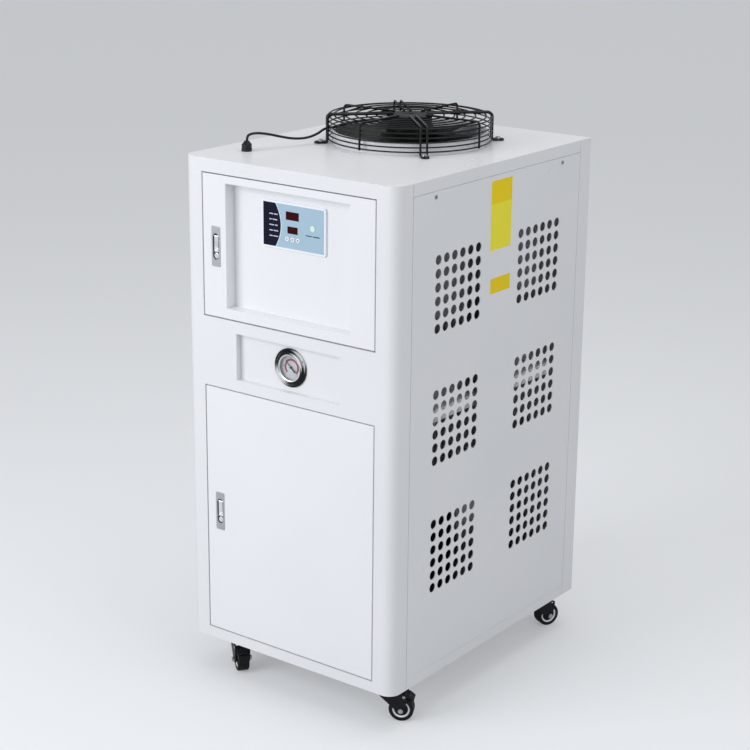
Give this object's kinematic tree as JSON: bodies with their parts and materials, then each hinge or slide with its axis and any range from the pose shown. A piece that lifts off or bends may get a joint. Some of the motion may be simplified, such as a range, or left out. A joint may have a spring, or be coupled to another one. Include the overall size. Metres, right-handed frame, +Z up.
{
  "type": "recirculating chiller",
  "caption": "Floor-standing recirculating chiller: sheet-metal cabinet on castors with perforated sides, flush-latched doors, control panel, pressure gauge and a guarded fan on the roof.",
  "frame": {"origin": "on the floor under the middle of the whole object's box", "axes": "+Z up, -Y out of the front with the doors, +X to the right seen from the front, where the doors are hinged"},
  "size_m": [0.5186, 0.692, 1.14],
  "materials": {
    "casing_paint": "semi-gloss powder coat",
    "door_paint": "semi-gloss powder coat",
    "screw_steel": "zinc plated",
    "latch_chrome": "satin chrome",
    "lever_chrome": "bright chrome",
    "zinc_steel": "zinc plated",
    "panel_film": "printed polyester film on a moulded case",
    "display_window": "smoked window",
    "key_white": "moulded",
    "lamp_white": "translucent moulded",
    "gauge_chrome": "polished",
    "dial_white": "matt white",
    "needle_black": "matt black",
    "gauge_glass": "clear",
    "guard_wire": "black dip coating",
    "motor_black": "black enamel",
    "rotor_black": "black moulded",
    "lead_rubber": "smooth sheath",
    "gland_nylon": "moulded nylon",
    "fork_black": "black enamel",
    "castor_tyre": "moulded tread on a nylon core",
    "pedal_black": "moulded",
    "compressor_black": "black enamel",
    "fin_aluminium": "mill finish fins",
    "tank_steel": "brushed",
    "pump_grey": "enamel",
    "pipe_copper": "drawn copper",
    "gear_plastic": "moulded",
    "port_brass": "turned"
  },
  "bodies": {
    "cabinet": {"base_tray": "casing_paint", "front_frame": "casing_paint", "rear_posts": "casing_paint", "roof_panel": "casing_paint", "fan_ring": "casing_paint", "side_panel_right": "casing_paint", "side_panel_left": "casing_paint", "back_panel": "casing_paint", "shelf": "casing_paint", "cabinet_screws": "screw_steel", "door_pivots": "screw_steel", "gauge_body": "gauge_chrome", "gauge_dial": "dial_white", "gauge_glass": "gauge_glass", "fan_guard": "guard_wire", "fan_motor": "motor_black", "fan_lead": "lead_rubber", "gland_bodies": "gland_nylon", "gland_nuts": "gland_nylon", "castor_plates": "zinc_steel", "compressor": "compressor_black", "condenser_coil": "fin_aluminium", "water_tank": "tank_steel", "water_pump": "pump_grey", "copper_pipes": "pipe_copper", "electrical_plate": "zinc_steel", "contactors": "gear_plastic", "water_ports": "port_brass"},
    "upper_door": {"upper_door": "door_paint", "upper_latch_body": "latch_chrome", "control_module": "panel_film", "display_windows": "display_window"},
    "lower_door": {"lower_door": "door_paint", "lower_latch_body": "latch_chrome"},
    "upper_lever": {"upper_latch_lever": "lever_chrome"},
    "upper_button": {"upper_latch_button": "lever_chrome"},
    "upper_tongue": {"upper_latch_tongue": "zinc_steel"},
    "lower_lever": {"lower_latch_lever": "lever_chrome"},
    "lower_button": {"lower_latch_button": "lever_chrome"},
    "lower_tongue": {"lower_latch_tongue": "zinc_steel"},
    "menu_key": {"menu_button": "key_white"},
    "up_key": {"up_button": "key_white"},
    "down_key": {"down_button": "key_white"},
    "start_key": {"start_button": "lamp_white"},
    "needle": {"gauge_needle": "needle_black"},
    "rotor": {"fan_rotor": "rotor_black"},
    "fork_front_right": {"castor_fork_front_right": "fork_black", "castor_axle_front_right": "zinc_steel"},
    "wheel_front_right": {"castor_wheel_front_right": "castor_tyre"},
    "pedal_front_right": {"brake_pedal_front_right": "pedal_black"},
    "fork_front_left": {"castor_fork_front_left": "fork_black", "castor_axle_front_left": "zinc_steel"},
    "wheel_front_left": {"castor_wheel_front_left": "castor_tyre"},
    "pedal_front_left": {"brake_pedal_front_left": "pedal_black"},
    "fork_rear_right": {"castor_fork_rear_right": "fork_black", "castor_axle_rear_right": "zinc_steel"},
    "wheel_rear_right": {"castor_wheel_rear_right": "castor_tyre"},
    "fork_rear_left": {"castor_fork_rear_left": "fork_black", "castor_axle_rear_left": "zinc_steel"},
    "wheel_rear_left": {"castor_wheel_rear_left": "castor_tyre"}
  },
  "joints": [
    {"name": "upper_door_hinge", "type": "hinge", "parent": "cabinet", "child": "upper_door", "pos_m": [0.1985, -0.339, 0.91], "axis": [0, 0, 1], "range_deg": [0, 110]},
    {"name": "upper_lever_hinge", "type": "hinge", "parent": "upper_door", "child": "upper_lever", "pos_m": [-0.175, -0.3424, 0.9298], "axis": [-1, 0, 0], "range_deg": [0, 50]},
    {"name": "upper_tongue_slide", "type": "slide", "parent": "upper_door", "child": "upper_tongue", "axis": [1, 0, 0], "range_m": [0, 0.009]},
    {"name": "upper_latch_button_push", "type": "slide", "parent": "upper_door", "child": "upper_button", "axis": [0, 1, 0], "range_m": [0, 0.0025], "stiffness_N_per_m": 300},
    {"name": "lower_door_hinge", "type": "hinge", "parent": "cabinet", "child": "lower_door", "pos_m": [0.1985, -0.339, 0.364], "axis": [0, 0, 1], "range_deg": [0, 110]},
    {"name": "lower_lever_hinge", "type": "hinge", "parent": "lower_door", "child": "lower_lever", "pos_m": [-0.175, -0.3424, 0.3838], "axis": [-1, 0, 0], "range_deg": [0, 50]},
    {"name": "lower_tongue_slide", "type": "slide", "parent": "lower_door", "child": "lower_tongue", "axis": [1, 0, 0], "range_m": [0, 0.009]},
    {"name": "lower_latch_button_push", "type": "slide", "parent": "lower_door", "child": "lower_button", "axis": [0, 1, 0], "range_m": [0, 0.0025], "stiffness_N_per_m": 300},
    {"name": "menu_key_push", "type": "slide", "parent": "upper_door", "child": "menu_key", "axis": [0, 1, 0], "range_m": [0, 0.001], "stiffness_N_per_m": 400},
    {"name": "up_key_push", "type": "slide", "parent": "upper_door", "child": "up_key", "axis": [0, 1, 0], "range_m": [0, 0.001], "stiffness_N_per_m": 400},
    {"name": "down_key_push", "type": "slide", "parent": "upper_door", "child": "down_key", "axis": [0, 1, 0], "range_m": [0, 0.001], "stiffness_N_per_m": 400},
    {"name": "start_key_push", "type": "slide", "parent": "upper_door", "child": "start_key", "axis": [0, 1, 0], "range_m": [0, 0.001], "stiffness_N_per_m": 400},
    {"name": "needle_spindle", "type": "hinge", "parent": "cabinet", "child": "needle", "pos_m": [0, -0.332, 0.696], "axis": [0, -1, 0], "range_deg": [-183, 87], "stiffness_Nm_per_rad": 0.002},
    {"name": "fan_spin", "type": "hinge", "parent": "cabinet", "child": "rotor", "pos_m": [0, 0.0455, 1.08], "axis": [0, 0, 1], "continuous": true},
    {"name": "swivel_front_right", "type": "hinge", "parent": "cabinet", "child": "fork_front_right", "pos_m": [0.2065, -0.285, 0.066], "axis": [0, 0, 1], "continuous": true},
    {"name": "roll_front_right", "type": "hinge", "parent": "fork_front_right", "child": "wheel_front_right", "pos_m": [0.22946, -0.27279, 0.025], "axis": [-0.4695, 0.8829, 0], "continuous": true},
    {"name": "brake_front_right", "type": "hinge", "parent": "fork_front_right", "child": "pedal_front_right", "pos_m": [0.23475, -0.26998, 0.054], "axis": [-0.4695, 0.8829, 0], "range_deg": [0, 10], "stiffness_Nm_per_rad": 0.6},
    {"name": "swivel_front_left", "type": "hinge", "parent": "cabinet", "child": "fork_front_left", "pos_m": [-0.1825, -0.285, 0.066], "axis": [0, 0, 1], "continuous": true},
    {"name": "roll_front_left", "type": "hinge", "parent": "fork_front_left", "child": "wheel_front_left", "pos_m": [-0.16201, -0.30101, 0.025], "axis": [0.6157, 0.788, 0], "continuous": true},
    {"name": "brake_front_left", "type": "hinge", "parent": "fork_front_left", "child": "pedal_front_left", "pos_m": [-0.15728, -0.3047, 0.054], "axis": [0.6157, 0.788, 0], "range_deg": [0, 10], "stiffness_Nm_per_rad": 0.6},
    {"name": "swivel_rear_right", "type": "hinge", "parent": "cabinet", "child": "fork_rear_right", "pos_m": [0.2065, 0.26, 0.066], "axis": [0, 0, 1], "continuous": true},
    {"name": "roll_rear_right", "type": "hinge", "parent": "fork_rear_right", "child": "wheel_rear_right", "pos_m": [0.2183, 0.28317, 0.025], "axis": [-0.891, 0.454, 0], "continuous": true},
    {"name": "swivel_rear_left", "type": "hinge", "parent": "cabinet", "child": "fork_rear_left", "pos_m": [-0.1825, 0.26, 0.066], "axis": [0, 0, 1], "continuous": true},
    {"name": "roll_rear_left", "type": "hinge", "parent": "fork_rear_left", "child": "wheel_rear_left", "pos_m": [-0.20502, 0.273, 0.025], "axis": [-0.5, -0.866, 0], "continuous": true}
  ],
  "couplings": [
    {"joint": "upper_tongue_slide", "follows": "upper_lever_hinge", "m_per_rad": 0.0103},
    {"joint": "lower_tongue_slide", "follows": "lower_lever_hinge", "m_per_rad": 0.0103}
  ]
}
